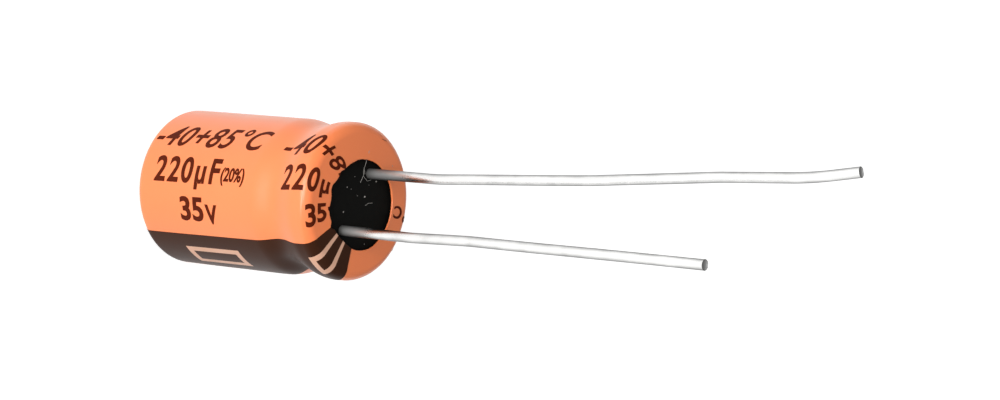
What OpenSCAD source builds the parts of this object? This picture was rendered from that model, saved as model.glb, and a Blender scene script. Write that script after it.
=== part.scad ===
// Radial aluminium electrolytic capacitor, 8 x 12 mm, standing on its head with the leads up.
// Z = 0 is the plane it rests on, the Z axis is the axis of the can, and the short lead is on +X.

/* [Can] */
// Outside diameter of the aluminium can
can_d = 8; // [7:0.1:10]
// Height of the can, from its head to the top of the curled rim
can_h = 12; // [11:0.1:16]
// Thickness of the drawn side wall
can_wall = 0.25; // [0.2:0.01:0.3]
// Thickness of the head
head_t = 0.3; // [0.2:0.01:0.5]
// Outside radius between the head and the side wall
head_r = 0.4; // [0.35:0.01:0.8]
// Outside radius of the rim that is curled into the bung
curl_r = 0.5; // [0.4:0.01:0.7]
// Angle through which the rim is curled
curl_angle = 120; // [90:1:130]
// Distance from the top of the rim down to the middle of the beaded groove
groove_drop = 2.3; // [2.1:0.05:2.6]
// Depth of the beaded groove
groove_depth = 0.6; // [0.4:0.05:0.8]
// Height of the beaded groove, from one edge to the other
groove_h = 3; // [2.6:0.1:3.2]
// Length of each line of the pressure vent stamped in the head
vent_l = 4.6; // [2:0.1:5.2]
// Depth of the vent lines
vent_depth = 0.12; // [0.05:0.01:0.15]

/* [Sleeve] */
// Thickness of the shrunk sleeve on the side of the can
sleeve_t = 0.09; // [0.06:0.01:0.15]
// Depth to which the sleeve dips where it spans the beaded groove
sleeve_dip = 0.29; // [0.2:0.01:0.35]
// Thickness of the sleeve where it is gathered under the head
head_lip_t = 0.11; // [0.08:0.01:0.2]
// Diameter of the bare middle of the head
head_open_d = 6; // [5.5:0.1:6.2]
// Thickness of the sleeve at the edge of the opening round the leads
seal_lip_t = 0.2; // [0.12:0.01:0.25]
// Diameter of the opening round the leads
seal_open_d = 4.7; // [4.2:0.1:5]
// Rise of the sleeve from the rim to the edge of that opening
seal_rise = 0.08; // [0.05:0.01:0.2]
// Clearance between the sleeve and the can
sleeve_gap = 0.01; // [0.005:0.005:0.03]

/* [Polarity band] */
// Thickness of the printed ink
ink_t = 0.02; // [0.01:0.01:0.03]
// Angle of the sleeve that the band covers
band_angle = 48; // [40:1:60]
// Angle that each outlined mark covers
mark_angle = 22; // [16:1:30]
// Angle that the line of a mark covers
mark_line_angle = 5.5; // [3:0.1:7]
// Length of a mark along the sleeve
mark_l = 3.9; // [3:0.1:4.6]
// Width of the line at the ends of a mark
mark_line_w = 0.4; // [0.2:0.01:0.5]
// Height of the lower end of the first mark
mark_z = 2.7; // [1:0.1:3.2]
// Distance from the top of the can's rim down to the start of the next mark
mark_drop = 0.55; // [0.4:0.05:0.8]

/* [Bung] */
// Height of the rubber bung
bung_h = 3.2; // [3:0.1:3.4]
// Depth of the bung's face below the top of the rim
bung_recess = 0.12; // [0.05:0.01:0.15]
// Depth of the narrow part of each hole, which grips the wire
wire_hole_h = 0.9; // [0.5:0.1:1.5]
// Clearance between the bung and the pieces that it seals against
seal_gap = 0.02; // [0.01:0.01:0.03]

/* [Winding] */
// Thickness of the anode foil
anode_foil_t = 0.11; // [0.08:0.01:0.15]
// Thickness of the cathode foil
cathode_foil_t = 0.05; // [0.03:0.01:0.08]
// Thickness of each paper separator
paper_t = 0.06; // [0.04:0.01:0.08]
// Thickness of the closing tape
tape_t = 0.05; // [0.03:0.01:0.08]
// Clearance between neighbouring turns
layer_gap = 0.02; // [0.01:0.01:0.03]
// Amount by which the paper stands past the foil at each end
paper_margin = 0.3; // [0.2:0.05:0.6]
// Turns that are wound before the anode tab is laid in
turns_to_tab = 2.2; // [1.5:0.1:2.8]
// Clearance between the winding and the inside of the can
winding_gap = 0.05; // [0.03:0.01:0.1]

/* [Tabs] */
// Thickness of the flat part of a tab
tab_t = 0.22; // [0.15:0.01:0.3]
// Distance from the lower edge of the foil to the end of a tab
tab_inset = 0.5; // [0.2:0.1:1]
// Diameter of the round post of a tab
post_d = 1.2; // [1:0.05:1.4]

/* [Leads] */
// Distance between the two leads in the bung
lead_pitch = 3.5; // [3.4:0.1:4]
// Diameter of the tinned wire
lead_d = 0.54; // [0.45:0.01:0.6]
// Radius of the slight bends in the wire
bend_r = 3; // [2:0.5:5]
// Amount by which the wire is drawn thinner round a bend
bend_thinning = 0.01; // [0.005:0.005:0.02]
// Chamfer left by the cutter on the end of the wire
tip_chamfer = 0.04; // [0.02:0.01:0.08]
// Straight length of the long lead above the bung
anode_root_l = 4.5; // [3:0.1:6]
// Length of the long lead after its first bend
anode_low_l = 9.3; // [6:0.1:12]
// Length of the long lead after its second bend
anode_high_l = 7.1; // [5:0.1:10]
// Length of the long lead after its third bend
anode_end_l = 4.7; // [3:0.1:8]
// Length of the long lead after its last bend
anode_tip_l = 2.3; // [1.5:0.1:5]
// Angle of the first bend of the long lead
anode_root_bend = 4.2; // [1:0.1:6]
// Angle of the second bend of the long lead
anode_mid_bend = 2.1; // [0.5:0.1:3]
// Angle by which the long lead is bent back at its third bend
anode_back_bend = 2.3; // [0.5:0.1:4]
// Angle of the last bend of the long lead
anode_tip_bend = 8; // [1:0.1:12]
// Straight length of the short lead above the bung
cathode_root_l = 4.6; // [1.5:0.1:6]
// Length of the short lead after its first bend
cathode_low_l = 3.6; // [2:0.1:8]
// Length of the short lead after its second bend
cathode_tip_l = 14.2; // [10:0.1:18]
// Angle of the inward bend of the short lead
cathode_in_bend = 2.2; // [0.5:0.1:3]
// Angle by which the short lead is bent back outwards
cathode_out_bend = 1.9; // [0.5:0.1:2.5]

/* [Hidden] */
$fn = 48;

// Margin by which a cutting shape passes through what it cuts
cut = 1;

// Colours
sleeve_color = [0.95, 0.5, 0.28];
ink_color = [0.16, 0.11, 0.08];
aluminium_color = [0.8, 0.81, 0.83];
rubber_color = [0.06, 0.06, 0.05];
paper_color = [0.86, 0.8, 0.66];
tin_color = [0.82, 0.82, 0.82];

// Places along the Z axis
head_z = head_lip_t + sleeve_gap;
rim_z = head_z + can_h;
groove_z = rim_z - groove_drop;
face_z = rim_z - bung_recess;
bung_z = face_z - bung_h;
post_top_z = face_z - wire_hole_h;
paper_z = head_z + head_t + seal_gap;
paper_top_z = groove_z - groove_h / 2 - winding_gap;
foil_z = paper_z + paper_margin;
foil_top_z = paper_top_z - paper_margin;

// Radii
can_r = can_d / 2;
inside_r = can_r - can_wall;
lead_x = lead_pitch / 2;

// Points of an arc round [r, z], each with the direction that faces outwards
function arc(centre, r, from, to, steps) = [
    for (i = [0 : steps])
        let (a = from + (to - from) * i / steps)
        [centre.x + r * cos(a), centre.y + r * sin(a), cos(a), sin(a)]
];

// Points along the side that dip to a depth at the groove, each with its outward direction
function groove(depth) = [
    for (i = [0 : groove_steps])
        let (
            turn = 360 * i / groove_steps - 180,
            slope = -depth * PI / groove_h * sin(turn),
            size = norm([1, slope])
        )
        [
            can_r - depth * (1 + cos(turn)) / 2,
            groove_z + groove_h * (i / groove_steps - 0.5),
            1 / size,
            slope / size
        ]
];

// Steps in which the curves of the section are drawn
groove_steps = 18;
head_steps = 6;
curl_steps = 10;
rim_steps = 8;

// Section of the can's outside, from the edge of the head up to the end of the curl
head_centre = [can_r - head_r, head_z + head_r];
curl_centre = [can_r - curl_r, rim_z - curl_r];
head_edge = arc(head_centre, head_r, -90, 0, head_steps);
side = groove(groove_depth);
curl = arc(curl_centre, curl_r, 0, curl_angle, curl_steps);

// The sleeve spans the groove with a shallower dip, and ends over the top of the rim
sleeve_side = groove(sleeve_dip);
rim_to_top = arc(curl_centre, curl_r, 0, 90, rim_steps);

// The same section moved outwards by a distance
function moved(points, distance) = [
    for (p = points) [p.x + distance * p[2], p.y + distance * p[3], p[2], p[3]]
];
function shifted(points, distance) = [for (p = moved(points, distance)) [p.x, p.y]];

// A list from its last member to its first
function backwards(list) = [for (i = [len(list) - 1 : -1 : 0]) list[i]];

// Outside of the sleeve, from under the head to the edge of the opening round the leads
sleeve_out = sleeve_gap + sleeve_t;
seal_top_z = rim_z + sleeve_out;
seal_lip_z = seal_top_z + seal_rise;
seal_open_r = seal_open_d / 2;
lip_round = seal_lip_t / 4;
lip_crown = [
    [seal_open_r + lip_round, seal_lip_z],
    [seal_open_r, seal_lip_z - lip_round]
];
foot = [
    for (p = head_edge)
        [p.x + sleeve_out * p[2], (head_z + head_r) * (1 + p[3]), p[2], p[3]]
];
sleeve_outside = concat(foot, moved(concat(sleeve_side, rim_to_top), sleeve_out));

// A sector of a ring round the Z axis, centred on +X, with its section given by points
module sector(angle, points) {
    rotate([0, 0, -angle / 2])
        rotate_extrude(angle = angle)
            polygon(points);
}

// A sector with a rectangular section
module block_sector(angle, r_from, r_to, z_from, z_to) {
    sector(angle, [[r_from, z_from], [r_to, z_from], [r_to, z_to], [r_from, z_to]]);
}

module sleeve() {
    color(sleeve_color)
        rotate_extrude()
            polygon(concat(
                [[head_open_d / 2, 0]],
                shifted(sleeve_outside, 0),
                lip_crown,
                [[seal_open_r, seal_lip_z - seal_lip_t]],
                backwards(shifted(concat(head_edge, sleeve_side, rim_to_top), sleeve_gap)),
                [[head_open_d / 2, head_lip_t]]
            ));
}

// The outline of a mark as it is left bare in the ink, between two heights
module mark(z_from, z_to) {
    difference() {
        block_sector(mark_angle, seal_open_r - cut, can_r + cut, z_from, z_to);
        block_sector(
            mark_angle - 2 * mark_line_angle, seal_open_r - 2 * cut, can_r + 2 * cut,
            z_from + mark_line_w, z_to - mark_line_w
        );
    }
}

module polarity_band() {
    printed = [for (p = sleeve_outside) if (p.y > ink_t) p];
    color(ink_color)
        difference() {
            sector(band_angle, concat(
                shifted(printed, 0),
                [lip_crown[0], lip_crown[0] + [0, ink_t]],
                backwards(shifted(printed, ink_t))
            ));
            mark(mark_z, mark_z + mark_l);
            // The next mark runs on over the rim to the opening
            mark(rim_z - mark_drop, rim_z + cut);
        }
}

// One stamped line of the vent, cut as a V into the underside of the head
module vent_line(angle) {
    rotate([0, 0, angle])
        translate([0, 0, head_z])
            rotate([45, 0, 0])
                cube([vent_l, vent_depth * sqrt(2), vent_depth * sqrt(2)], center = true);
}

// The wall's inside meets the flat inside of the head part of the way round its edge
inside_from = -60;
inside_steps = 4;

module can() {
    outside = concat(head_edge, side, curl);
    inside_edge = arc(head_centre, head_r - can_wall, inside_from, 0, inside_steps);
    color(aluminium_color)
        difference() {
            rotate_extrude()
                polygon(concat(
                    [[0, head_z]],
                    shifted(outside, 0),
                    backwards(shifted(concat(side, curl), -can_wall)),
                    backwards([for (p = inside_edge) [p.x, max(p.y, head_z + head_t)]]),
                    [[0, head_z + head_t]]
                ));
            vent_line(0);
            vent_line(90);
        }
}

// Edge of the bung: it fills the groove and the curl, and the curled edge bites into its face
bung_skin = can_wall + seal_gap;
bite_past = 6;
bite_angle = curl_angle + bite_past;
bite = arc(curl_centre, curl_r - bung_skin, 0, bite_angle, rim_steps);
bite_reach = (face_z - curl_centre.y) / sin(bite_angle);

module bung() {
    color(rubber_color)
        difference() {
            rotate_extrude()
                intersection() {
                    polygon(concat(
                        [[0, head_z]],
                        shifted(concat([head_edge[len(head_edge) - 1]], side), -bung_skin),
                        shifted(bite, 0),
                        [[curl_centre.x + bite_reach * cos(bite_angle), face_z], [0, face_z]]
                    ));
                    translate([0, bung_z])
                        square([can_r, bung_h + cut]);
                }
            for (x = [-lead_x, lead_x])
                translate([x, 0, 0]) {
                    translate([0, 0, bung_z - cut])
                        cylinder(h = post_top_z + seal_gap - bung_z + cut, d = post_d + 2 * seal_gap);
                    translate([0, 0, post_top_z])
                        cylinder(h = wire_hole_h + cut, d = lead_d + 2 * seal_gap);
                }
        }
}

// The winding is four strips rolled together, in this order from the inside:
// anode foil, inner separator, cathode foil, outer separator. An angle along a strip counts on
// through every turn, and all strips have their corners at the same angles.
corner = 12;
turn_t = anode_foil_t + cathode_foil_t + 2 * paper_t + 4 * layer_gap;
inner_paper_at = anode_foil_t + layer_gap;
cathode_at = inner_paper_at + paper_t + layer_gap;
outer_paper_at = cathode_at + cathode_foil_t + layer_gap;

// A tab lies on the outside of its own foil, and the turns over it are lifted by its thickness
tab_half = 2 * corner;
tab_lift = tab_t + layer_gap;
anode_tab_angle = corner * round(360 * turns_to_tab / corner);
cathode_tab_angle = anode_tab_angle - 180;
core_r = lead_x - tab_t / 2 - inner_paper_at - turn_t * anode_tab_angle / 360;

// The last corner at which the strips, the lift, the tape and one more turn still fit in the can
room = inside_r - winding_gap - tape_t - tab_lift - core_r;
end_angle = corner * floor((room / turn_t - 1) * 360 / corner);

// Place of an angle along a strip, seen as a direction from the Z axis
function direction(angle) = 180 + angle - anode_tab_angle;

// Share of the lift at an angle, from 1 over the tab down to 0 beside it
function over_tab(angle, tab_angle) =
    let (turned = angle - tab_angle, beside = abs(turned - 360 * round(turned / 360)))
    min(1, max(0, 2 - beside / tab_half));

// A layer is lifted where it passes outside a tab
function lift(angle, at) =
    (angle > anode_tab_angle + (at > 0 ? -180 : 180) ? over_tab(angle, anode_tab_angle) : 0)
    + (angle > cathode_tab_angle + (at > cathode_at ? -180 : 180) ? over_tab(angle, cathode_tab_angle) : 0);

function layer_r(angle, at) = core_r + turn_t * angle / 360 + at + tab_lift * lift(angle, at);

// Section of a strip that starts at a distance into the turn
function strip_side(at, base_at, from, to) = [
    for (a = [from : corner : to])
        let (r = layer_r(a, base_at) + at - base_at)
        [r * cos(direction(a)), r * sin(direction(a))]
];

module strip(at, thickness, from, to, base_at) {
    polygon(concat(
        strip_side(at, base_at, from, to),
        backwards(strip_side(at + thickness, base_at, from, to))
    ));
}

module wound(at, thickness, from, to, z_from, z_to) {
    translate([0, 0, z_from])
        linear_extrude(height = z_to - z_from)
            strip(at, thickness, from, to, at);
}

// The paper is wound in first and runs on past the foils
foil_lead_in = 10 * corner;
foil_run_out = 5 * corner;

module anode_foil() {
    color(aluminium_color)
        wound(0, anode_foil_t, foil_lead_in, end_angle - 2 * foil_run_out, foil_z, foil_top_z);
}

module cathode_foil() {
    color(aluminium_color)
        wound(cathode_at, cathode_foil_t, foil_lead_in / 2, end_angle - foil_run_out, foil_z, foil_top_z);
}

module inner_separator() {
    color(paper_color)
        wound(inner_paper_at, paper_t, 0, end_angle, paper_z, paper_top_z);
}

module outer_separator() {
    color(paper_color)
        wound(outer_paper_at, paper_t, 0, end_angle, paper_z, paper_top_z);
}

module winding_tape() {
    color(paper_color)
        wound(0, tape_t, end_angle + corner, end_angle + 360, paper_z, paper_top_z);
}

// The flat part of a tab follows the curve of the turn that it is stitched to. Above the
// winding it thickens to the round post that passes into the bung.
module tab(side_x, foil_at, foil_t, angle) {
    flat_at = foil_at + foil_t + layer_gap;
    flat_top_z = (paper_top_z + bung_z) / 2;
    mid_r = layer_r(angle, foil_at) + flat_at - foil_at + tab_t / 2;
    translate([0, 0, foil_z + tab_inset])
        linear_extrude(height = flat_top_z - foil_z - tab_inset)
            strip(flat_at, tab_t, angle - tab_half, angle + tab_half, foil_at);
    intersection() {
        translate([side_x * lead_x, 0, paper_top_z + layer_gap])
            cylinder(h = bung_z - paper_top_z, d = post_d);
        rotate([90, 0, 0])
            linear_extrude(height = 2 * post_d, center = true)
                polygon([
                    [side_x * (mid_r - tab_t / 2), paper_top_z],
                    [side_x * (mid_r + tab_t / 2), paper_top_z],
                    [side_x * (lead_x + post_d / 2), bung_z],
                    [side_x * (lead_x + post_d / 2), bung_z + cut],
                    [side_x * (lead_x - post_d / 2), bung_z + cut],
                    [side_x * (lead_x - post_d / 2), bung_z]
                ]);
    }
    translate([side_x * lead_x, 0, bung_z])
        cylinder(h = post_top_z - bung_z, d = post_d);
}

module anode_tab() {
    color(aluminium_color)
        tab(-1, 0, anode_foil_t, anode_tab_angle);
}

module cathode_tab() {
    color(aluminium_color)
        tab(1, cathode_at, cathode_foil_t, cathode_tab_angle);
}

// The wire round a bend, which reaches a little way into the straight wire on both sides
bend_reach = 0.1;
bend_reach_angle = bend_reach / bend_r * 180 / PI;
module bend(angle) {
    rotate([90, 0, 0])
        rotate([0, 0, -bend_reach_angle])
            rotate_extrude(angle = angle + 2 * bend_reach_angle)
                translate([bend_r, 0])
                    circle(d = lead_d - bend_thinning);
}

// A wire that starts up the Z axis and bends towards -X, or towards +X where the angle is
// negative. Each run is its straight length and the angle of the bend that follows it.
module wire(runs, i = 0) {
    length = runs[i][0];
    angle = runs[i][1];
    way = angle < 0 ? -1 : 1;
    if (i == len(runs) - 1) {
        cylinder(h = length - tip_chamfer, d = lead_d);
        translate([0, 0, length - tip_chamfer])
            cylinder(h = tip_chamfer, d1 = lead_d, d2 = lead_d - 2 * tip_chamfer);
    } else {
        cylinder(h = length, d = lead_d);
        translate([-way * bend_r, 0, length]) {
            if (way > 0) bend(angle);
            else mirror([1, 0, 0]) bend(-angle);
            rotate([0, -angle, 0])
                translate([way * bend_r, 0, 0])
                    wire(runs, i + 1);
        }
    }
}

module anode_lead() {
    color(tin_color)
        translate([-lead_x, 0, post_top_z])
            wire([
                [wire_hole_h + anode_root_l, anode_root_bend],
                [anode_low_l, anode_mid_bend],
                [anode_high_l, -anode_back_bend],
                [anode_end_l, anode_tip_bend],
                [anode_tip_l, 0]
            ]);
}

module cathode_lead() {
    color(tin_color)
        translate([lead_x, 0, post_top_z])
            wire([
                [wire_hole_h + cathode_root_l, cathode_in_bend],
                [cathode_low_l, -cathode_out_bend],
                [cathode_tip_l, 0]
            ]);
}

sleeve();
polarity_band();
can();
bung();
anode_foil();
cathode_foil();
inner_separator();
outer_separator();
winding_tape();
anode_tab();
cathode_tab();
anode_lead();
cathode_lead();
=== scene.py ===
import math
from bisect import bisect_right

import bmesh
import bpy
from mathutils import Matrix, Vector, noise


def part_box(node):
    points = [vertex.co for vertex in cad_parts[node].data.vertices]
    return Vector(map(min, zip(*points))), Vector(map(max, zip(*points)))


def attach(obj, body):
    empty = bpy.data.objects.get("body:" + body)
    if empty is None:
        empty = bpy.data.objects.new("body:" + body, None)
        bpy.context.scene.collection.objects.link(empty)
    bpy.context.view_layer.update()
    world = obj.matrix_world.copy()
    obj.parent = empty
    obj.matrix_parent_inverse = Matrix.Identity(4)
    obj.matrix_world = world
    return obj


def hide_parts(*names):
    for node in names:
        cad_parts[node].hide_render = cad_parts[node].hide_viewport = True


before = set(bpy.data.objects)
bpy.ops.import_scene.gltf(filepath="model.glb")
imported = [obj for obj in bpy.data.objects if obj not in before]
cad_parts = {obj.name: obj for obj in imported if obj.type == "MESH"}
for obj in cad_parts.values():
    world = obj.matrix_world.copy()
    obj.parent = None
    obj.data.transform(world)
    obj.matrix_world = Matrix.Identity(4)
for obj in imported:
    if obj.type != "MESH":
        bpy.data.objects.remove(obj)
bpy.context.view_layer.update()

# Without a seed of its own, vector noise differs from run to run
noise.seed_set(5)

# Sizes are in millimetres, and a finished piece is scaled to metres
MM = 0.001

# Sizes that the frame gives
CAN_LOW, CAN_HIGH = (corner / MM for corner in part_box("can"))
SLEEVE_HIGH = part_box("sleeve")[1] / MM
BUNG_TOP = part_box("bung")[1].z / MM
CAN_R = CAN_HIGH.x
SLEEVE_R = SLEEVE_HIGH.x
HEAD_Z = CAN_LOW.z
RIM_Z = CAN_HIGH.z

# Section of the sleeve: it dips where it spans the can's groove
HEAD_CORNER = 0.4
RIM_CURL = 0.5
GROOVE_DROP = 2.3
DIP_Z = RIM_Z - GROOVE_DROP
DIP = 0.29
DIP_H = 3.0
DIP_STEPS = 56

# Sleeve
SLEEVE_GAP = 0.01
SLEEVE_SKIN = SLEEVE_R - CAN_R
HEAD_OPEN_R = 3.0
SEAL_OPEN_R = 2.35
SEAL_LIP_T = 0.1
LIP_ROUND = 0.04
LIP_R = SEAL_OPEN_R + LIP_ROUND
LIP_STEPS = 5
SLEEVE_STEPS = 256
SHRINK_DEPTH = 0.008
SHRINK_SCALE = 2.6

# The cut edge round the leads is off centre. Each notch has its azimuth, half width and depth,
# and one with a depth below 0 is a tongue.
LIP_SHIFT = 0.22
LIP_SHIFT_AZIMUTH = 80
LIP_WOBBLE = 0.03
LIP_RIPPLE_SHARE = 0.5
LIP_REACH = 0.8
LIP_NOTCHES = [
    (284, 10, 0.2), (316, 14, 0.14), (311, 2.5, 0.08), (334, 4, 0.2), (258, 5, 0.08), (5, 18, -0.1),
]

# A dent where the sleeve sank deeper into the groove
DENT = 0.3
DENT_Z = 9.45
DENT_W = 0.8
DENT_AZIMUTH = 25
DENT_SPREAD = 30

# A crease that the shrinking left on the rim
CREASE_Z = 11.87
CREASE_W = 0.06
CREASE_AZIMUTH = 311
CREASE_SPREAD = 11
CREASE_H = 0.035

# Printing: places along the flat tube with the places on the shrunk sleeve where they lie, and
# places on the sleeve with the degrees by which the shrinking turned the printing there
TUBE_TO_SKIN = [(-1, -1), (12.5, 12.5), (16.5, 15.8)]
TWIST = [(0, 2.3), (11.5, -0.7), (14.7, -2.8)]
INK_T = 0.012
INK_LIFT = 0.002

# Room that the sleeve leaves for the ink under the head
INK_ROOM = 0.03

# Reach over which the slope of the sleeve is taken
SLOPE_REACH = 0.02

# Cuts that let flat printing bend: along and across the tube, and finer ones next to the lip
PRINT_STEP_X = 0.1
PRINT_STEP_Y = 0.12
CROWN_STEP = 0.013
CROWN_CUTS = 10

# Degrees by which letters reach below their line
LETTER_DROP = 8

# The printing repeats after this length of tube
REPEAT = 8.95

# Band, and the outlined marks on it
BAND_ANGLE = 48
MARK_START = 3.57
MARK_L = 3.85
MARK_LINE = 0.37
MARK_ANGLE = 20.9
MARK_LINE_ANGLE = 4.8
MARK_CENTRE = -1.3

# Printed rows: name, words, start and end along the flat tube, azimuths of top and foot, style
PRINTS = [
    ("temperature_print", "-40+85°C", 1.4, 9.25, 247.5, 267.5,
     {"lean": 0.35, "weight": 0.015, "gap": 1.1}),
    ("capacitance_print", "220µF", 2.2, 6.87, 276.5, 295.5, {"weight": 0.025, "gap": 1.18}),
    ("tolerance_print", "(20%)", 7.0, 8.65, 283, 293, {"weight": 0.03}),
    ("voltage_print", "35", 4.15, 5.83, 306, 323.5, {"weight": 0.03}),
    ("volt_print", "V", 5.98, 6.84, 311, 325, {"weight": 0.035}),
    ("back_temperature_print", "85°C", 2.6, 5.75, 108, 121, {"weight": 0.02, "gap": 1.1}),
    ("back_voltage_print", "35V", 1.3, 4.15, 84, 98, {"weight": 0.03}),
]

# Degrees by which the band's edge on the +Y side is pulled wider, along the flat tube
BAND_SPREAD = [(0, 4), (8, 4), (9, 5.5), (10, 6.5), (11, 6), (12, 3.5), (12.9, 0.5), (15, -0.4)]

# Leads
WIRE_R = 0.27
WIRE_SIDES = 32
WIRE_STEP = 0.25
WIRE_BEND_R = 16
BEND_STEPS = 8
LEAD_X = 1.75
WIRE_HOLE_H = 0.9
LEAD_FOOT_Z = BUNG_TOP - WIRE_HOLE_H

# Slight waves of a wire, which fade in over its first steps, and how much its thickness varies
WIRE_WAVE = 0.012
WIRE_WAVE_L = 5
WIRE_CALM_STEPS = 20
WIRE_SWELL = 0.012
WIRE_SWELL_L = 3

# The cut end of a wire: rings as (width, height), and how dull it is
TIP_RINGS = [(0.03, 0.04), (0.07, 0.03)]
TIP_DULL = 0.3

# Each run goes from corner to corner, with the degrees of the turn towards -X that follows
ANODE_RUNS = [(5.51, 4.2), (9.46, 2.1), (7.21, -2.3), (4.97, 8), (2.5, 0)]
CATHODE_RUNS = [(5.56, 2.2), (3.7, -1.9), (14.05, 0)]

# Heights above the bung over which the wires are dull, and darker as painted shade near the bung
ANODE_DULL_AND_SHADE = 3.2
CATHODE_DULL_AND_SHADE = 2.3

# Dust on the bung and the lip: specks as (x, y, radius), and lint and a hair by their points
SPECKS = [
    (-0.22, -1.05, 0.04), (-0.57, 0.39, 0.05), (0.95, -0.52, 0.05), (-1.69, 0.66, 0.05),
    (-0.3, -0.11, 0.025), (-0.31, -0.73, 0.02), (-0.97, -0.88, 0.02), (-1.23, 0.3, 0.02),
    (1.4, 1.86, 0.03), (-2.89, 0.98, 0.03),
]
LINT = [
    [(-2.5, -1.05), (-2.2, -0.9), (-1.64, -0.52), (-1.36, -0.36), (-0.96, -0.35)],
    [(-1.36, -0.36), (-1.32, 0.06), (-1.55, 0.28)],
    [(-1.5, -0.3), (-1.75, -0.6)],
    [(-0.24, 0.71), (-0.46, 0.84), (-0.64, 1.1)],
]
RIM_HAIR = [[(-3.58, -0.52), (-3.6, -0.4), (-3.66, -0.24), (-3.67, -0.16)]]
FIBRE_R = 0.012
SPECK_SHAPE = (1, 0.8, 0.5)
SPECK_LUMPS = 0.3


# Mesh helpers

def arc(centre_r, centre_z, radius_r, radius_z, start, end, steps):
    """Points of an elliptical arc in the section, from one angle to another."""
    turns = [math.radians(start + (end - start) * i / steps) for i in range(steps + 1)]
    return [(centre_r + radius_r * math.cos(a), centre_z + radius_z * math.sin(a)) for a in turns]


def line(start, end, steps):
    """Points of a straight run in the section, without its ends."""
    return [tuple(a + (b - a) * i / steps for a, b in zip(start, end)) for i in range(1, steps)]


def finish_piece(mesh, name, material, nodes=(), sharp=35):
    """Makes a piece of the object, in metres, from a mesh in millimetres."""
    bmesh.ops.scale(mesh, vec=(MM, MM, MM), verts=mesh.verts)
    data = bpy.data.meshes.new(name)
    mesh.to_mesh(data)
    mesh.free()
    data.materials.append(material)
    data.shade_smooth()
    data.set_sharp_from_angle(angle=math.radians(sharp))
    piece = bpy.data.objects.new(name, data)
    bpy.context.scene.collection.objects.link(piece)
    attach(piece, "root")
    if nodes:
        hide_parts(*nodes)
    return piece


# Section of the sleeve

def skin(side_gap, head_gap, rim_gap):
    """Section at these distances from the can, from the opening under the head to the rim."""
    head = HEAD_Z - head_gap
    corner_r = CAN_R - HEAD_CORNER
    points = [(HEAD_OPEN_R, head)]
    points += line(points[0], (corner_r, head), steps=5)
    points += arc(
        corner_r, HEAD_Z + HEAD_CORNER, HEAD_CORNER + side_gap, HEAD_CORNER + head_gap,
        start=-90, end=0, steps=12)
    foot = DIP_Z - DIP_H / 2
    points += line(points[-1], (CAN_R + side_gap, foot), steps=28)
    for i in range(DIP_STEPS + 1):
        turn = math.tau * i / DIP_STEPS - math.pi
        depth = DIP * (1 + math.cos(turn)) / 2
        slope = -DIP * math.pi / DIP_H * math.sin(turn)
        reach = side_gap / math.hypot(1, slope)
        points.append((CAN_R - depth + reach, foot + DIP_H * i / DIP_STEPS + reach * slope))
    rim_foot = (CAN_R + side_gap, RIM_Z - RIM_CURL)
    points += line(points[-1], rim_foot, steps=5)
    points += arc(
        CAN_R - RIM_CURL, rim_foot[1], RIM_CURL + side_gap, RIM_CURL + rim_gap,
        start=0, end=90, steps=16)
    return points


def sleeve_outside():
    """Outside of the sleeve, up to the top of the lip round the leads."""
    points = skin(SLEEVE_SKIN, HEAD_Z - INK_ROOM, SLEEVE_SKIN)
    lip = (LIP_R, SLEEVE_HIGH.z)
    return points + line(points[-1], lip, steps=14) + [lip]


def sleeve_inside():
    """Inside of the sleeve, up to the underside of the same lip."""
    points = skin(SLEEVE_GAP, SLEEVE_GAP, SLEEVE_GAP)
    lip = (LIP_R, SLEEVE_HIGH.z - SEAL_LIP_T)
    return points + line(points[-1], lip, steps=8) + [lip]


LIP_CROWN = arc(
    LIP_R, SLEEVE_HIGH.z - LIP_ROUND, LIP_ROUND, LIP_ROUND, start=90, end=180, steps=LIP_STEPS)[1:]
LIP_FOOT = (SEAL_OPEN_R, SLEEVE_HIGH.z - SEAL_LIP_T + LIP_ROUND)

# The whole outside that printing follows, and how far along it each point lies
OUTSIDE = sleeve_outside() + LIP_CROWN + [LIP_FOOT]
OUTSIDE_S = [0]
for here, there in zip(OUTSIDE, OUTSIDE[1:]):
    OUTSIDE_S.append(OUTSIDE_S[-1] + math.dist(here, there))
LIP_S = OUTSIDE_S[-1]


def skin_at(s):
    """Radius and height of the outside at a distance s along its section."""
    i = min(max(bisect_right(OUTSIDE_S, s), 1), len(OUTSIDE) - 1)
    share = (s - OUTSIDE_S[i - 1]) / (OUTSIDE_S[i] - OUTSIDE_S[i - 1])
    return Vector(OUTSIDE[i - 1]).lerp(Vector(OUTSIDE[i]), share)


def read_off(pairs, x):
    """Value at x on the line through a list of pairs, which runs on past both ends."""
    for (x0, y0), (x1, y1) in zip(pairs, pairs[1:]):
        if x <= x1:
            break
    return y0 + (y1 - y0) * (x - x0) / (x1 - x0)


def degrees_from(place, azimuth):
    """Degrees from one azimuth to another, the short way round."""
    return (azimuth - place + 180) % 360 - 180


def near_spot(height, azimuth, spot_z, reach_z, spot_azimuth, reach_azimuth):
    """1 at a spot on the sleeve, fading to 0 over these reaches in height and azimuth."""
    up = (height - spot_z) / reach_z
    turn = degrees_from(spot_azimuth, azimuth) / reach_azimuth
    return math.exp(-up ** 2 - turn ** 4)


def ring_noise(azimuth, waves, layer):
    """Noise round the axis, with shorter waves for a higher number."""
    turn = math.radians(azimuth)
    return noise.noise(Vector((waves * math.cos(turn), waves * math.sin(turn), layer)))


def lip_wobble(azimuth):
    """How far the cut edge round the leads stands back, in mm, at this azimuth in degrees."""
    wave = ring_noise(azimuth, waves=3, layer=7)
    ripple = ring_noise(azimuth, waves=14, layer=2)
    back = LIP_WOBBLE * (wave + LIP_RIPPLE_SHARE * ripple)
    back += LIP_SHIFT * math.cos(math.radians(azimuth - LIP_SHIFT_AZIMUTH))
    for place, width, depth in LIP_NOTCHES:
        back += depth * math.exp(-(degrees_from(place, azimuth) / width) ** 2)
    return back


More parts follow.
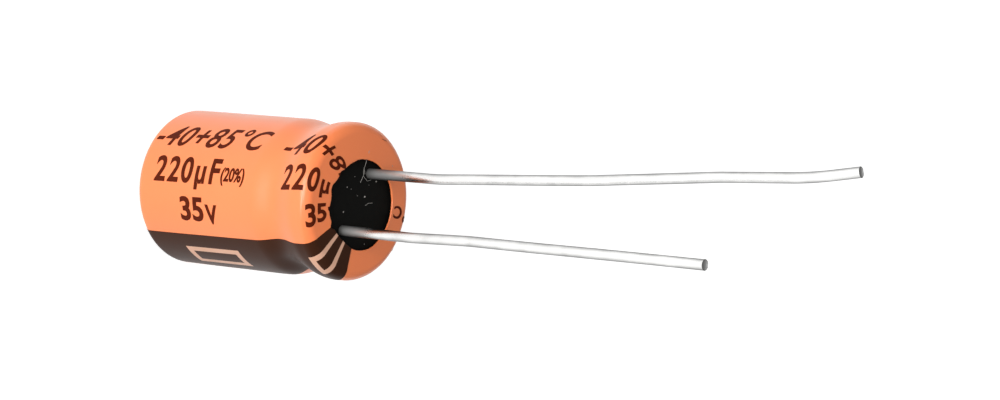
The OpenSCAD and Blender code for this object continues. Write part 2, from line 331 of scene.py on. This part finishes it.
def shrunk(point):
    """Where a point of the perfect sleeve lies on the real, unevenly shrunk one."""
    moved = point + SHRINK_DEPTH * noise.noise_vector(point / SHRINK_SCALE)
    radius = math.hypot(point.x, point.y)
    azimuth = math.degrees(math.atan2(point.y, point.x)) % 360
    reach = CREASE_H * near_spot(point.z, azimuth, CREASE_Z, CREASE_W, CREASE_AZIMUTH, CREASE_SPREAD)
    reach -= DENT * near_spot(point.z, azimuth, DENT_Z, DENT_W, DENT_AZIMUTH, DENT_SPREAD)
    near = 1 - (radius - SEAL_OPEN_R) / LIP_REACH
    if point.z > RIM_Z - RIM_CURL and near > 0:
        reach += lip_wobble(azimuth) * min(near, 1) ** 2
    moved += Vector((point.x, point.y, 0)) / radius * reach
    moved.z = max(moved.z, 0)
    return moved


def shrink(mesh):
    """Gives every point of a mesh its place on the shrunk sleeve."""
    for vertex in mesh.verts:
        vertex.co = shrunk(vertex.co)


def make_sleeve(material):
    """The sleeve: a closed section spun round the can."""
    mesh = bmesh.new()
    section = sleeve_outside() + LIP_CROWN
    section += arc(
        LIP_R, LIP_FOOT[1], LIP_ROUND, LIP_ROUND, start=180, end=270, steps=LIP_STEPS)[:-1]
    section += reversed(sleeve_inside())
    corners = [mesh.verts.new((r, 0, z)) for r, z in section]
    sides = [mesh.edges.new(pair) for pair in zip(corners, corners[1:] + corners[:1])]
    bmesh.ops.spin(
        mesh, geom=corners + sides, cent=(0, 0, 0), axis=(0, 0, 1),
        angle=math.tau, steps=SLEEVE_STEPS, use_merge=True)
    bmesh.ops.recalc_face_normals(mesh, faces=mesh.faces)
    shrink(mesh)
    return finish_piece(mesh, "shrunk_sleeve", material, ["sleeve"], sharp=60)


# Printing

def cut(mesh, place, normal, snap=1e-5, **options):
    """Cuts a flat mesh through a place, square to a normal."""
    bmesh.ops.bisect_plane(
        mesh, geom=mesh.verts[:] + mesh.edges[:] + mesh.faces[:], dist=snap,
        plane_co=place, plane_no=normal, **options)


def cut_across(mesh, axis, start, end, step):
    """Cuts a flat mesh at even steps along X (0) or Y (1), so that it can bend."""
    normal = [0, 0, 0]
    normal[axis] = 1
    for i in range(1, int((end - start) / step) + 1):
        place = [0, 0, 0]
        place[axis] = start + i * step
        cut(mesh, place, normal)


def wrap(mesh):
    """Thickens flat printing and lays it on the sleeve: X runs along the tube, Y round it."""
    up = bmesh.ops.extrude_face_region(mesh, geom=mesh.faces[:])["geom"]
    for vertex in up:
        if isinstance(vertex, bmesh.types.BMVert):
            vertex.co.z += INK_T
    for vertex in mesh.verts:
        s = read_off(TUBE_TO_SKIN, vertex.co.x)
        azimuth = vertex.co.y / SLEEVE_R + math.radians(read_off(TWIST, s))
        along = (skin_at(s + SLOPE_REACH) - skin_at(s - SLOPE_REACH)).normalized()
        lift = INK_LIFT + vertex.co.z
        radius, height = skin_at(s) + lift * Vector((along.y, -along.x))
        vertex.co = (radius * math.cos(azimuth), radius * math.sin(azimuth), height)
    bmesh.ops.recalc_face_normals(mesh, faces=mesh.faces)
    shrink(mesh)


def lip_t():
    """Place on the flat tube that ends at the lip round the leads."""
    return read_off([(s, t) for t, s in TUBE_TO_SKIN], LIP_S)


def degrees_y(azimuth):
    """Place across the flat tube of an azimuth in degrees."""
    return math.radians(azimuth) * SLEEVE_R


def on_outline(place, marks, centre_y, outer_y, inner_y):
    """Whether a place on the flat tube lies on the outline of a mark."""
    across = abs(place.y - centre_y)
    for start in marks:
        along = place.x - start
        in_mark = 0 < along < MARK_L and across < outer_y
        in_middle = MARK_LINE < along < MARK_L - MARK_LINE and across < inner_y
        if in_mark and not in_middle:
            return True
    return False


def make_band(material, outline_material):
    """The dark stripe beside the short lead, and the outlines of its marks: bare sleeve, drawn paler
    and pinker than the sleeve as partly painted sheen.
    """
    mesh = bmesh.new()
    half = degrees_y(BAND_ANGLE / 2)
    end = lip_t()
    bmesh.ops.create_grid(mesh, x_segments=150, y_segments=34, size=0.5)
    bmesh.ops.scale(mesh, vec=(end, 2 * half, 1), verts=mesh.verts)
    bmesh.ops.translate(mesh, vec=(end / 2, 0, 0), verts=mesh.verts)
    centre_y = degrees_y(MARK_CENTRE)
    outer_y = degrees_y(MARK_ANGLE / 2)
    inner_y = outer_y - degrees_y(MARK_LINE_ANGLE)
    marks = [MARK_START, MARK_START + REPEAT]
    cuts = [((x, 0, 0), (1, 0, 0)) for start in marks
            for x in (start, start + MARK_LINE, start + MARK_L - MARK_LINE, start + MARK_L) if x < end]
    cuts += [((end - i * CROWN_STEP, 0, 0), (1, 0, 0)) for i in range(1, CROWN_CUTS + 1)]
    cuts += [((0, centre_y + y, 0), (0, 1, 0)) for y in (-outer_y, -inner_y, inner_y, outer_y)]
    for place, normal in cuts:
        cut(mesh, place, normal, snap=1e-4)
    outlines = mesh.copy()
    for part, keep_outline in ((mesh, False), (outlines, True)):
        other = []
        for face in part.faces:
            middle = face.calc_center_median()
            if on_outline(middle, marks, centre_y, outer_y, inner_y) != keep_outline:
                other.append(face)
        bmesh.ops.delete(part, geom=other, context="FACES")
        for vertex in part.verts:
            past = (vertex.co.y - outer_y - centre_y) / (half - outer_y - centre_y)
            vertex.co.y += max(past, 0) * degrees_y(read_off(BAND_SPREAD, vertex.co.x))
        wrap(part)
    finish_piece(mesh, "printed_band", material, ["polarity_band"])
    finish_piece(outlines, "mark_outlines", outline_material)


def lettering(words, start, end, low, high, lean=0.0, weight=0.03, gap=1.0):
    """Flat letters on the tube, X from start to end, with their feet at the higher azimuth."""
    curve = bpy.data.curves.new("letters", "FONT")
    curve.body = words
    curve.shear = lean
    curve.offset = weight
    curve.space_character = gap
    letters = bpy.data.objects.new("letters", curve)
    data = bpy.data.meshes.new_from_object(letters)
    mesh = bmesh.new()
    mesh.from_mesh(data)
    bpy.data.objects.remove(letters)
    bpy.data.curves.remove(curve)
    bpy.data.meshes.remove(data)
    xs = [vertex.co.x for vertex in mesh.verts]
    ys = [vertex.co.y for vertex in mesh.verts]
    foot, top = degrees_y(high), degrees_y(low)
    size_x = (end - start) / (max(xs) - min(xs))
    size_y = (top - foot) / max(ys)
    bmesh.ops.translate(mesh, vec=(-min(xs), 0, 0), verts=mesh.verts)
    bmesh.ops.scale(mesh, vec=(size_x, size_y, 1), verts=mesh.verts)
    bmesh.ops.translate(mesh, vec=(start, foot, 0), verts=mesh.verts)
    return mesh


def make_print(name, material, words, start, end, low, high, **style):
    """A row of printing, with its next copy along the tube, cut off at the lip."""
    whole = bmesh.new()
    stop = lip_t()
    for shift in (0, REPEAT):
        mesh = lettering(words, start + shift, end + shift, low, high, **style)
        bmesh.ops.remove_doubles(mesh, verts=mesh.verts, dist=1e-4)
        if end + shift > stop:
            cut(mesh, (stop, 0, 0), (1, 0, 0), clear_outer=True)
            cut_across(mesh, 0, stop - CROWN_CUTS * CROWN_STEP, stop, CROWN_STEP)
        cut_across(mesh, 0, start + shift, min(end + shift, stop), PRINT_STEP_X)
        cut_across(mesh, 1, degrees_y(low), degrees_y(high + LETTER_DROP), PRINT_STEP_Y)
        data = bpy.data.meshes.new(name)
        mesh.to_mesh(data)
        mesh.free()
        whole.from_mesh(data)
        bpy.data.meshes.remove(data)
    wrap(whole)
    return finish_piece(whole, name, material)


# Leads

def lead_ahead(heading):
    """Direction of a lead that leans towards -X by this angle."""
    return Vector((-math.sin(heading), 0, math.cos(heading)))


def lead_path(x, runs):
    """Places along a lead with rounded corners, and its heading at each."""
    place = Vector((x, 0, LEAD_FOOT_Z))
    heading = 0.0
    stations = [(place.copy(), heading)]
    used = 0
    for run, bend in runs:
        corner = WIRE_BEND_R * math.tan(abs(math.radians(bend)) / 2)
        straight = run - used - corner
        used = corner
        steps = math.ceil(straight / WIRE_STEP)
        for _ in range(steps):
            place += lead_ahead(heading) * straight / steps
            stations.append((place.copy(), heading))
        for _ in range(BEND_STEPS if bend else 0):
            turn = math.radians(bend) / BEND_STEPS
            heading += turn
            place += lead_ahead(heading - turn / 2) * abs(turn) * WIRE_BEND_R
            stations.append((place.copy(), heading))
    return stations


def sweep(mesh, placements, radius, sides):
    """A closed rod whose rings lie at these placements, with a flat face on each end."""
    ring = bmesh.ops.create_circle(mesh, segments=sides, radius=radius)["verts"]
    edges = list(dict.fromkeys(edge for vertex in ring for edge in vertex.link_edges))
    bmesh.ops.contextual_create(mesh, geom=edges)
    placed = Matrix.Identity(4)
    rings = []
    for i, placement in enumerate(placements):
        if i:
            made = bmesh.ops.extrude_edge_only(mesh, edges=edges)["geom"]
            ring = [part for part in made if isinstance(part, bmesh.types.BMVert)]
            edges = [part for part in made if isinstance(part, bmesh.types.BMEdge)
                     and all(vertex in ring for vertex in part.verts)]
        bmesh.ops.transform(mesh, matrix=placement @ placed.inverted(), verts=ring)
        placed = placement
        rings.append(ring)
    end = bmesh.ops.contextual_create(mesh, geom=edges)["faces"]
    return rings, end


def make_lead(name, node, x, runs, dull_and_shade_reach, seed, material):
    """A tinned wire, dull at its root and painted darker there as shade near the bung, with the bare,
    slightly domed face that the cutter leaves.
    """
    mesh = bmesh.new()
    dull_and_shade = mesh.verts.layers.float.new("dull_and_shade")
    placements = []
    for i, (place, heading) in enumerate(lead_path(x, runs)):
        fade = min(1, i / WIRE_CALM_STEPS)
        wave = noise.noise_vector(Vector((place.z / WIRE_WAVE_L, seed, 0))) * WIRE_WAVE * fade
        wave.z = 0
        grow = 1 + WIRE_SWELL * noise.noise(Vector((place.z / WIRE_SWELL_L, seed, 5)))
        placements.append(
            Matrix.Translation(place + wave) @ Matrix.Rotation(-heading, 4, "Y")
            @ Matrix.Diagonal((grow, grow, 1, 1)))
    rings, tip = sweep(mesh, placements, WIRE_R, WIRE_SIDES)
    # Share of dull tin and painted shade, fading with height above the bung
    for ring in rings:
        for vertex in ring:
            vertex[dull_and_shade] = max(0, 1 - max(vertex.co.z - BUNG_TOP, 0) / dull_and_shade_reach)
    for width, height in TIP_RINGS:
        bmesh.ops.inset_region(mesh, faces=tip, thickness=width, depth=height)
        for vertex in tip[0].verts:
            vertex[dull_and_shade] = TIP_DULL
    bmesh.ops.recalc_face_normals(mesh, faces=mesh.faces)
    return finish_piece(mesh, name, material, [node], sharp=50)


# Dust

def resting_place(x, y, lift):
    """The point that far above the bung, or above the sleeve outside the opening."""
    radius = math.hypot(x, y)
    out = radius - LIP_R
    azimuth = math.degrees(math.atan2(y, x)) % 360
    if radius < SEAL_OPEN_R + lip_wobble(azimuth):
        return Vector((x, y, BUNG_TOP + lift))
    return Vector((x, y, skin_at(LIP_S - max(out, 0)).y + lift))


def make_specks(material):
    """Specks of dust, each a small flattened lump."""
    mesh = bmesh.new()
    shape = Matrix.Diagonal((*SPECK_SHAPE, 1))
    for x, y, radius in SPECKS:
        place = Matrix.Translation(resting_place(x, y, lift=radius / 3))
        lump = bmesh.ops.create_icosphere(mesh, subdivisions=2, radius=radius, matrix=place @ shape)
        for vertex in lump["verts"]:
            vertex.co += noise.noise_vector(vertex.co / radius) * radius * SPECK_LUMPS
    return finish_piece(mesh, "dust_specks", material)


def make_fibres(name, fibres, material):
    """Thin fibres that lie on the bung, the lip or the rim."""
    mesh = bmesh.new()
    for points in fibres:
        spots = [resting_place(x, y, FIBRE_R) for x, y in points]
        placements = []
        for i, spot in enumerate(spots):
            along = spots[min(i + 1, len(spots) - 1)] - spots[max(i - 1, 0)]
            turn = along.to_track_quat("Z", "Y").to_matrix().to_4x4()
            placements.append(Matrix.Translation(spot) @ turn)
        sweep(mesh, placements, FIBRE_R, sides=6)
    bmesh.ops.recalc_face_normals(mesh, faces=mesh.faces)
    return finish_piece(mesh, name, material, sharp=80)


# Materials

# Numbers of the sockets that a Mix node uses for colours and for values
MIX_SHARE = 0
COLOUR_A, COLOUR_B, COLOUR_OUT = 6, 7, 2
VALUE_A, VALUE_B, VALUE_OUT = 2, 3, 0

# Painted shade where a wire turns away, in place of dark reflections at its edges: scale and amount of
# its drift, and where it starts and is full
EDGE_DRIFT_SCALE = 900.0
EDGE_DRIFT = 0.3
EDGE_START = 0.4
EDGE_FULL = 0.8


def node_in(tree, kind, inputs=None, **settings):
    """Adds a node, sets its settings, and fills or links its inputs."""
    made = tree.nodes.new(kind)
    for name, value in settings.items():
        setattr(made, name, value)
    for name, value in (inputs or {}).items():
        if isinstance(value, bpy.types.NodeSocket):
            tree.links.new(value, made.inputs[name])
        else:
            made.inputs[name].default_value = value
    return made


def surface_variation():
    """Node group: colour, roughness and relief that drift over a surface."""
    group = bpy.data.node_groups.new("surface_variation", "ShaderNodeTree")
    for name, kind, value in (
            ("Vector", "NodeSocketVector", None), ("Colour", "NodeSocketColor", None),
            ("Tint", "NodeSocketColor", None), ("Amount", "NodeSocketFloat", 0.5),
            ("Scale", "NodeSocketFloat", 500.0), ("Roughness", "NodeSocketFloat", 0.5),
            ("Roughness Spread", "NodeSocketFloat", 0.1)):
        socket = group.interface.new_socket(name, in_out="INPUT", socket_type=kind)
        if value is not None:
            socket.default_value = value
    for name, kind in (("Colour", "NodeSocketColor"), ("Roughness", "NodeSocketFloat"),
                       ("Height", "NodeSocketFloat")):
        group.interface.new_socket(name, in_out="OUTPUT", socket_type=kind)
    given = node_in(group, "NodeGroupInput").outputs
    cloud = node_in(group, "ShaderNodeTexNoise", {
        "Vector": given["Vector"], "Scale": given["Scale"], "Detail": 4.0, "Roughness": 0.6})
    share = node_in(group, "ShaderNodeMapRange", {
        "Value": cloud.outputs["Fac"], "From Min": 0.3, "From Max": 0.7, "To Min": 0.0,
        "To Max": given["Amount"]})
    colour = node_in(group, "ShaderNodeMix", data_type="RGBA")
    group.links.new(share.outputs["Result"], colour.inputs[MIX_SHARE])
    group.links.new(given["Colour"], colour.inputs[COLOUR_A])
    group.links.new(given["Tint"], colour.inputs[COLOUR_B])
    off = node_in(group, "ShaderNodeMath", {0: cloud.outputs["Fac"], 1: 0.5}, operation="SUBTRACT")
    rough = node_in(group, "ShaderNodeMath", {
        0: off.outputs[0], 1: given["Roughness Spread"], 2: given["Roughness"]},
        operation="MULTIPLY_ADD")
    out = node_in(group, "NodeGroupOutput")
    group.links.new(colour.outputs[COLOUR_OUT], out.inputs["Colour"])
    group.links.new(rough.outputs[0], out.inputs["Roughness"])
    group.links.new(cloud.outputs["Fac"], out.inputs["Height"])
    return group


VARIATION = surface_variation()


def surface(
        name, colour, tint, amount, scale, roughness, spread, relief, stretch=(1, 1, 1),
        **shader_values):
    """A procedural material: a drifting colour and roughness, with a relief of that many mm."""
    material = bpy.data.materials.new(name)
    material.use_nodes = True
    tree = material.node_tree
    shader = tree.nodes["Principled BSDF"]
    place = node_in(tree, "ShaderNodeTexCoord").outputs["Object"]
    mapping = node_in(tree, "ShaderNodeMapping", {"Vector": place, "Scale": stretch})
    varied = node_in(tree, "ShaderNodeGroup", node_tree=VARIATION)
    tree.links.new(mapping.outputs["Vector"], varied.inputs["Vector"])
    for socket, value in (("Colour", (*colour, 1)), ("Tint", (*tint, 1)), ("Amount", amount),
                          ("Scale", scale), ("Roughness", roughness), ("Roughness Spread", spread)):
        varied.inputs[socket].default_value = value
    bump = node_in(tree, "ShaderNodeBump", {
        "Height": varied.outputs["Height"], "Strength": 1.0, "Distance": relief * MM})
    tree.links.new(varied.outputs["Colour"], shader.inputs["Base Color"])
    tree.links.new(varied.outputs["Roughness"], shader.inputs["Roughness"])
    tree.links.new(bump.outputs["Normal"], shader.inputs["Normal"])
    for socket, value in shader_values.items():
        shader.inputs[socket.replace("_", " ")].default_value = value
    return material


def paint_edge_shade(material, level):
    """Paints shade unevenly into a material where it turns away, in place of dark reflections at a
    wire's edges, down to that share of its colour.
    """
    tree = material.node_tree
    shader = tree.nodes["Principled BSDF"]
    place = node_in(tree, "ShaderNodeTexCoord").outputs["Object"]
    drift = node_in(tree, "ShaderNodeTexNoise", {
        "Vector": place, "Scale": EDGE_DRIFT_SCALE, "Detail": 3.0})
    turned = node_in(tree, "ShaderNodeLayerWeight", {"Blend": 0.5}).outputs["Facing"]
    uneven = node_in(tree, "ShaderNodeMath", {
        0: drift.outputs["Fac"], 1: EDGE_DRIFT, 2: turned}, operation="MULTIPLY_ADD")
    share = node_in(tree, "ShaderNodeMapRange", {
        "Value": uneven.outputs[0], "From Min": EDGE_START, "From Max": EDGE_FULL,
        "To Min": 1.0, "To Max": level})
    darker = node_in(tree, "ShaderNodeVectorMath", {
        0: shader.inputs["Base Color"].links[0].from_socket, 1: share.outputs["Result"]},
        operation="MULTIPLY")
    tree.links.new(darker.outputs["Vector"], shader.inputs["Base Color"])


def dull_and_shade_metal(material, colour, roughness, metallic):
    """Turns a metal duller where its mesh says so, and to these values at most; the dark colour there
    is partly painted shade.
    """
    tree = material.node_tree
    shader = tree.nodes["Principled BSDF"]
    share = node_in(tree, "ShaderNodeAttribute", attribute_name="dull_and_shade").outputs["Fac"]
    blend = node_in(tree, "ShaderNodeMix", data_type="RGBA")
    tree.links.new(share, blend.inputs[MIX_SHARE])
    tree.links.new(shader.inputs["Base Color"].links[0].from_socket, blend.inputs[COLOUR_A])
    blend.inputs[COLOUR_B].default_value = (*colour, 1)
    rough = node_in(tree, "ShaderNodeMix", data_type="FLOAT")
    tree.links.new(share, rough.inputs[MIX_SHARE])
    tree.links.new(shader.inputs["Roughness"].links[0].from_socket, rough.inputs[VALUE_A])
    rough.inputs[VALUE_B].default_value = roughness
    metal = node_in(tree, "ShaderNodeMix", data_type="FLOAT")
    tree.links.new(share, metal.inputs[MIX_SHARE])
    metal.inputs[VALUE_A].default_value = 1.0
    metal.inputs[VALUE_B].default_value = metallic
    tree.links.new(metal.outputs[VALUE_OUT], shader.inputs["Metallic"])
    tree.links.new(blend.outputs[COLOUR_OUT], shader.inputs["Base Color"])
    tree.links.new(rough.outputs[VALUE_OUT], shader.inputs["Roughness"])


SLEEVE_VINYL = surface(
    "sleeve_vinyl", (0.98, 0.25, 0.078), (0.97, 0.235, 0.072), 0.8, 260, 0.38, 0.08, 0.004,
    Coat_Weight=0.3, Coat_Roughness=0.2)
INK = surface(
    "print_ink", (0.1, 0.013, 0.003), (0.075, 0.01, 0.002), 0.8, 900, 0.5, 0.1, 0.003,
    Specular_IOR_Level=0.06)
BAND_INK = surface(
    "band_ink", (0.04, 0.0115, 0.004), (0.045, 0.015, 0.006), 0.8, 500, 0.42, 0.1, 0.003,
    Specular_IOR_Level=0.1)
# The outlines are bare sleeve in a paler, pinker colour than the sleeve, partly a painted sheen.
OUTLINE_PAINTED_SHEEN = surface(
    "outline_painted_sheen", (0.74, 0.42, 0.29), (0.68, 0.38, 0.25), 0.8, 900, 0.4, 0.1, 0.003,
    Specular_IOR_Level=0.3)
RUBBER = surface(
    "bung_rubber", (0.004, 0.004, 0.0035), (0.006, 0.006, 0.005), 1, 2500, 0.8, 0.1, 0.01,
    Specular_IOR_Level=0.1)
WIRE = surface(
    "tinned_wire", (0.85, 0.85, 0.84), (0.75, 0.75, 0.74), 1, 6000, 0.2, 0.1, 0.002, (1, 1, 0.02),
    Metallic=1.0, Specular_Tint=(0.8, 0.8, 0.8, 1))
# Painted shade on the wire's edges: the base colour darkens where the surface turns away, in place of
# dark reflections.
paint_edge_shade(WIRE, level=0.25)
# Dull tin at the roots of the wires, in a colour so dark that it is partly painted shade near the
# bung.
dull_and_shade_metal(WIRE, (0.1, 0.098, 0.094), roughness=0.55, metallic=0.2)
ALUMINIUM = surface(
    "can_aluminium", (0.8, 0.81, 0.82), (0.7, 0.71, 0.72), 1, 3000, 0.35, 0.15, 0.003, Metallic=1.0)
FOIL = surface("foil", (0.55, 0.56, 0.57), (0.48, 0.49, 0.5), 1, 4000, 0.6, 0.1, 0.003, Metallic=1.0)
PAPER = surface("separator_paper", (0.72, 0.62, 0.44), (0.66, 0.55, 0.38), 1, 3000, 0.9, 0.1, 0.008)
TAPE = surface("winding_tape", (0.75, 0.55, 0.2), (0.7, 0.5, 0.17), 1, 1500, 0.3, 0.1, 0.002)
TAB = surface(
    "tab_aluminium", (0.75, 0.75, 0.76), (0.68, 0.68, 0.69), 1, 3000, 0.4, 0.1, 0.003, Metallic=1.0)
DUST = surface("dust", (0.42, 0.4, 0.37), (0.25, 0.24, 0.22), 1, 9000, 0.9, 0.1, 0.002)
HAIR = surface("hair", (0.2, 0.05, 0.02), (0.15, 0.04, 0.015), 1, 9000, 0.6, 0.1, 0.002)

NODE_MATERIALS = {
    "can": ALUMINIUM, "bung": RUBBER, "anode_foil": FOIL, "cathode_foil": FOIL,
    "inner_separator": PAPER, "outer_separator": PAPER, "winding_tape": TAPE,
    "anode_tab": TAB, "cathode_tab": TAB,
}


def dress_nodes():
    """Gives each CAD piece that shows as it is its material."""
    for name, material in NODE_MATERIALS.items():
        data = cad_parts[name].data
        data.materials.clear()
        data.materials.append(material)


# Stage

CAMERA_PLACE = Vector((52.71, -94.23, 107.1)) * MM
CAMERA_RIGHT = Vector((-0.3862, 0.4925, 0.7799))
CAMERA_AHEAD = Vector((-0.3873, 0.6808, -0.6217))
CAMERA_LENS = 100.55

# Lamps: name, direction, distance, size and light level
LAMPS = [
    ("key", (0.45, -0.89, 0.25), 0.4, 0.3, 1.25),
    ("top", (0.2, -0.3, 1), 0.4, 0.25, 0.06),
]
LAMP_TARGET = Vector((0, 0, 10 * MM))

# Light from all round, and the floor
SURROUND_LEVEL = 0.37
FLOOR_Z = -0.02
FLOOR_GREY = 0.8
FLOOR_GLOW = 0.68


def make_camera():
    """The camera at the photograph's viewing angle."""
    data = bpy.data.cameras.new("camera")
    data.lens = CAMERA_LENS
    data.clip_start = MM
    camera = bpy.data.objects.new("camera", data)
    bpy.context.scene.collection.objects.link(camera)
    right = CAMERA_RIGHT.normalized()
    back = -(CAMERA_AHEAD - right * CAMERA_AHEAD.dot(right)).normalized()
    camera.matrix_world = Matrix.Translation(CAMERA_PLACE) @ Matrix(
        (right, back.cross(right), back)).transposed().to_4x4()
    bpy.context.scene.camera = camera


def make_lamp(name, towards, distance, size, level):
    """A softbox in that direction; a white face turned to it gets that much light."""
    data = bpy.data.lights.new(name, "AREA")
    data.size = size
    data.energy = level * (math.pi * distance) ** 2
    lamp = bpy.data.objects.new(name, data)
    bpy.context.scene.collection.objects.link(lamp)
    towards = Vector(towards).normalized()
    turn = towards.to_track_quat("Z", "Y").to_matrix().to_4x4()
    lamp.matrix_world = Matrix.Translation(LAMP_TARGET + towards * distance) @ turn


def make_floor():
    """A pale floor that is white to the camera and keeps the object's shadow."""
    mesh = bmesh.new()
    bmesh.ops.create_grid(mesh, x_segments=1, y_segments=1, size=1.5)
    data = bpy.data.meshes.new("floor")
    mesh.to_mesh(data)
    mesh.free()
    floor = bpy.data.objects.new("floor", data)
    floor.location.z = FLOOR_Z * MM
    bpy.context.scene.collection.objects.link(floor)
    material = bpy.data.materials.new("floor")
    material.use_nodes = True
    tree = material.node_tree
    tree.nodes.remove(tree.nodes["Principled BSDF"])
    path = node_in(tree, "ShaderNodeLightPath").outputs
    seen = node_in(tree, "ShaderNodeMath", {0: path["Is Camera Ray"], 1: path["Is Glossy Ray"]},
                   operation="MAXIMUM")
    seen = node_in(tree, "ShaderNodeMath", {0: seen.outputs[0], 1: path["Is Transmission Ray"]},
                   operation="MAXIMUM")
    glow_level = node_in(tree, "ShaderNodeMath", {0: seen.outputs[0], 1: FLOOR_GLOW},
                         operation="MULTIPLY")
    glow = node_in(tree, "ShaderNodeEmission", {"Strength": glow_level.outputs[0]})
    matt = node_in(tree, "ShaderNodeBsdfDiffuse", {
        "Color": (FLOOR_GREY, FLOOR_GREY, FLOOR_GREY, 1)})
    both = node_in(tree, "ShaderNodeAddShader", {0: glow.outputs[0], 1: matt.outputs[0]})
    tree.links.new(both.outputs[0], tree.nodes["Material Output"].inputs["Surface"])
    data.materials.append(material)


def make_world():
    """An even, soft surround, white where it is seen."""
    world = bpy.data.worlds.new("surround")
    world.use_nodes = True
    tree = world.node_tree
    path = node_in(tree, "ShaderNodeLightPath").outputs
    level = node_in(tree, "ShaderNodeMapRange", {
        "Value": path["Is Camera Ray"], "To Min": SURROUND_LEVEL, "To Max": 1.0})
    tree.links.new(level.outputs["Result"], tree.nodes["Background"].inputs["Strength"])
    tree.nodes["Background"].inputs["Color"].default_value = (1, 1, 1, 1)
    bpy.context.scene.world = world


make_camera()
for lamp_row in LAMPS:
    make_lamp(*lamp_row)
make_floor()
make_world()
bpy.context.scene.view_settings.view_transform = "Standard"

dress_nodes()
make_sleeve(SLEEVE_VINYL)
make_band(BAND_INK, OUTLINE_PAINTED_SHEEN)
for name, words, start, end, low, high, style in PRINTS:
    make_print(name, INK, words, start, end, low, high, **style)
make_specks(DUST)
make_fibres("lint_fibres", LINT, DUST)
make_fibres("rim_hair", RIM_HAIR, HAIR)
make_lead("anode_wire", "anode_lead", -LEAD_X, ANODE_RUNS, ANODE_DULL_AND_SHADE, seed=1, material=WIRE)
make_lead("cathode_wire", "cathode_lead", LEAD_X, CATHODE_RUNS, CATHODE_DULL_AND_SHADE, seed=2, material=WIRE)
